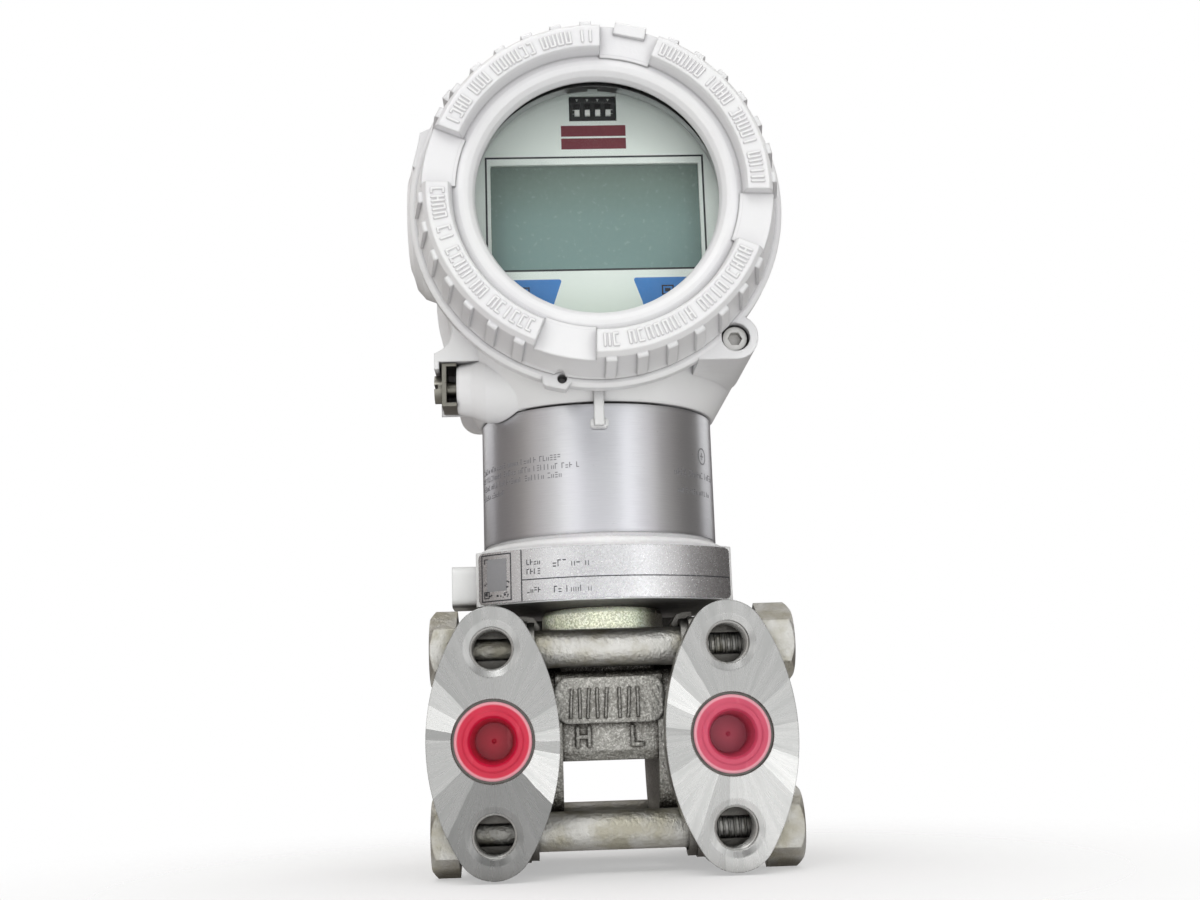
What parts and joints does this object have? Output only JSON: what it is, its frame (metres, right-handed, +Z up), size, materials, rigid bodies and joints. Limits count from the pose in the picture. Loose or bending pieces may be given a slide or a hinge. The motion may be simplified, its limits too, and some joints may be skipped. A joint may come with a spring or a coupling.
{
  "type": "differential pressure transmitter",
  "caption": "Industrial differential pressure transmitter: barrel housing with display window, labelled neck, and a sensor body bolted between oval-faced process flanges.",
  "frame": {"origin": "middle of the process interface plane, half way between the two pressure ports, in the plane of the oval faces", "axes": "+Z up along the neck, +X to the right as seen from the front, +Y into the instrument"},
  "size_m": [0.0992, 0.1093, 0.2003],
  "materials": {
    "machined_steel": "fly-cut and turned",
    "cast_steel": "blasted",
    "bolt_steel": "satin",
    "white_paint": "satin",
    "red_plastic": "satin",
    "seal_white": "matt",
    "black_rubber": "matt",
    "neck_label": "brushed",
    "base_label": "fine speckle",
    "board_green": "solder resist",
    "brass": "turned",
    "ribbon": "satin",
    "window_glass": "clear",
    "aluminium_plain": "turned",
    "display_face": "satin",
    "black_plastic": "matt",
    "lcd": "satin",
    "slider_white": "matt"
  },
  "bodies": {
    "sensor": {"process_flange_high": "machined_steel", "process_flange_low": "machined_steel", "flange_gasket_high": "seal_white", "flange_gasket_low": "seal_white", "diaphragm_high": "machined_steel", "diaphragm_low": "machined_steel", "tie_bolts": "bolt_steel", "tie_nuts": "bolt_steel", "sensor_body": "cast_steel", "dp_sensor_cell": "machined_steel", "port_plug_high": "red_plastic", "port_plug_low": "red_plastic", "vent_body_high": "machined_steel", "vent_body_low": "machined_steel", "neck_casting": "white_paint", "neck_oring": "black_rubber", "neck_label": "neck_label", "base_label": "base_label", "sensor_board": "board_green", "sensor_board_posts": "brass", "sensor_ribbon": "ribbon"},
    "housing": {"housing": "white_paint", "display_face": "display_face", "display_housing": "black_plastic", "lcd_panel": "lcd", "display_board": "board_green", "dip_switch_block": "black_plastic", "main_board": "board_green", "board_pillars": "brass", "board_screws": "bolt_steel", "terminal_block": "black_plastic", "terminal_plates": "machined_steel", "terminal_block_screws": "bolt_steel", "inner_earth_washers": "brass", "earth_clamp": "machined_steel", "conduit_plug": "machined_steel"},
    "front_seal": {"front_cover_oring": "black_rubber"},
    "front_cover": {"front_cover": "white_paint", "window_glass": "window_glass", "glass_gasket": "seal_white", "glass_retaining_ring": "aluminium_plain"},
    "rear_seal": {"rear_cover_oring": "black_rubber"},
    "rear_cover": {"rear_cover": "white_paint"},
    "front_lock": {"front_lock_screw": "bolt_steel"},
    "rear_lock": {"rear_lock_screw": "bolt_steel"},
    "swivel_lock": {"housing_lock_screw": "bolt_steel"},
    "collar_lock": {"neck_lock_screw": "bolt_steel"},
    "earth_screw": {"earth_screw": "bolt_steel"},
    "inner_earth_screw": {"inner_earth_screw": "bolt_steel"},
    "vent_needle_high": {"vent_needle_high": "machined_steel"},
    "vent_needle_low": {"vent_needle_low": "machined_steel"},
    "terminal_screw_plus": {"terminal_screw_plus": "bolt_steel"},
    "terminal_screw_minus": {"terminal_screw_minus": "bolt_steel"},
    "terminal_screw_test": {"terminal_screw_test": "bolt_steel"},
    "dip_slider_1": {"dip_slider_1": "slider_white"},
    "dip_slider_2": {"dip_slider_2": "slider_white"},
    "dip_slider_3": {"dip_slider_3": "slider_white"},
    "dip_slider_4": {"dip_slider_4": "slider_white"}
  },
  "joints": [
    {"name": "housing_swivel", "type": "hinge", "parent": "sensor", "child": "housing", "pos_m": [0, 0.038, 0.0796], "axis": [0, 0, 1], "range_deg": [-180, 180]},
    {"name": "front_cover_travel", "type": "slide", "parent": "housing", "child": "front_seal", "axis": [0, -1, 0], "range_m": [0, 0.008]},
    {"name": "front_cover_turn", "type": "hinge", "parent": "front_seal", "child": "front_cover", "pos_m": [0, -0.01, 0.125], "axis": [0, -1, 0], "range_deg": [0, 1440]},
    {"name": "rear_cover_travel", "type": "slide", "parent": "housing", "child": "rear_seal", "axis": [0, 1, 0], "range_m": [0, 0.008]},
    {"name": "rear_cover_turn", "type": "hinge", "parent": "rear_seal", "child": "rear_cover", "pos_m": [0, 0.085, 0.125], "axis": [0, 1, 0], "range_deg": [0, 1440]},
    {"name": "front_lock_turn", "type": "hinge", "parent": "housing", "child": "front_lock", "pos_m": [0.032, 0.0007, 0.092], "axis": [0, -1, 0], "range_deg": [0, 1080]},
    {"name": "rear_lock_turn", "type": "hinge", "parent": "housing", "child": "rear_lock", "pos_m": [-0.032, 0.0743, 0.092], "axis": [0, 1, 0], "range_deg": [0, 1080]},
    {"name": "swivel_lock_turn", "type": "hinge", "parent": "housing", "child": "swivel_lock", "pos_m": [0, 0.068, 0.0842], "axis": [0, 1, 0], "range_deg": [0, 720]},
    {"name": "collar_lock_turn", "type": "hinge", "parent": "sensor", "child": "collar_lock", "pos_m": [-0.03, 0.038, 0.03735], "axis": [-1, 0, 0], "range_deg": [0, 720]},
    {"name": "earth_screw_turn", "type": "hinge", "parent": "housing", "child": "earth_screw", "pos_m": [-0.0386, 0.021, 0.0863], "axis": [-1, 0, 0], "range_deg": [0, 1800]},
    {"name": "inner_earth_turn", "type": "hinge", "parent": "housing", "child": "inner_earth_screw", "pos_m": [0, 0.042, 0.096], "axis": [0, 1, 0], "range_deg": [0, 1440]},
    {"name": "vent_high_turn", "type": "hinge", "parent": "sensor", "child": "vent_needle_high", "pos_m": [-0.027, 0.085, 0], "axis": [0, 1, 0], "range_deg": [0, 720]},
    {"name": "vent_low_turn", "type": "hinge", "parent": "sensor", "child": "vent_needle_low", "pos_m": [0.027, 0.085, 0], "axis": [0, 1, 0], "range_deg": [0, 720]},
    {"name": "terminal_plus_turn", "type": "hinge", "parent": "housing", "child": "terminal_screw_plus", "pos_m": [-0.014, 0.052, 0.121], "axis": [0, 1, 0], "range_deg": [0, 1440]},
    {"name": "terminal_minus_turn", "type": "hinge", "parent": "housing", "child": "terminal_screw_minus", "pos_m": [0, 0.052, 0.121], "axis": [0, 1, 0], "range_deg": [0, 1440]},
    {"name": "terminal_test_turn", "type": "hinge", "parent": "housing", "child": "terminal_screw_test", "pos_m": [0.014, 0.052, 0.121], "axis": [0, 1, 0], "range_deg": [0, 1440]},
    {"name": "dip_1_slide", "type": "slide", "parent": "housing", "child": "dip_slider_1", "axis": [0, 0, 1], "range_m": [0, 0.0015]},
    {"name": "dip_2_slide", "type": "slide", "parent": "housing", "child": "dip_slider_2", "axis": [0, 0, 1], "range_m": [0, 0.0015]},
    {"name": "dip_3_slide", "type": "slide", "parent": "housing", "child": "dip_slider_3", "axis": [0, 0, 1], "range_m": [0, 0.0015]},
    {"name": "dip_4_slide", "type": "slide", "parent": "housing", "child": "dip_slider_4", "axis": [0, 0, 1], "range_m": [0, 0.0015]}
  ],
  "couplings": [
    {"joint": "front_cover_travel", "follows": "front_cover_turn", "m_per_rad": 0.00031831},
    {"joint": "rear_cover_travel", "follows": "rear_cover_turn", "m_per_rad": 0.00031831}
  ]
}
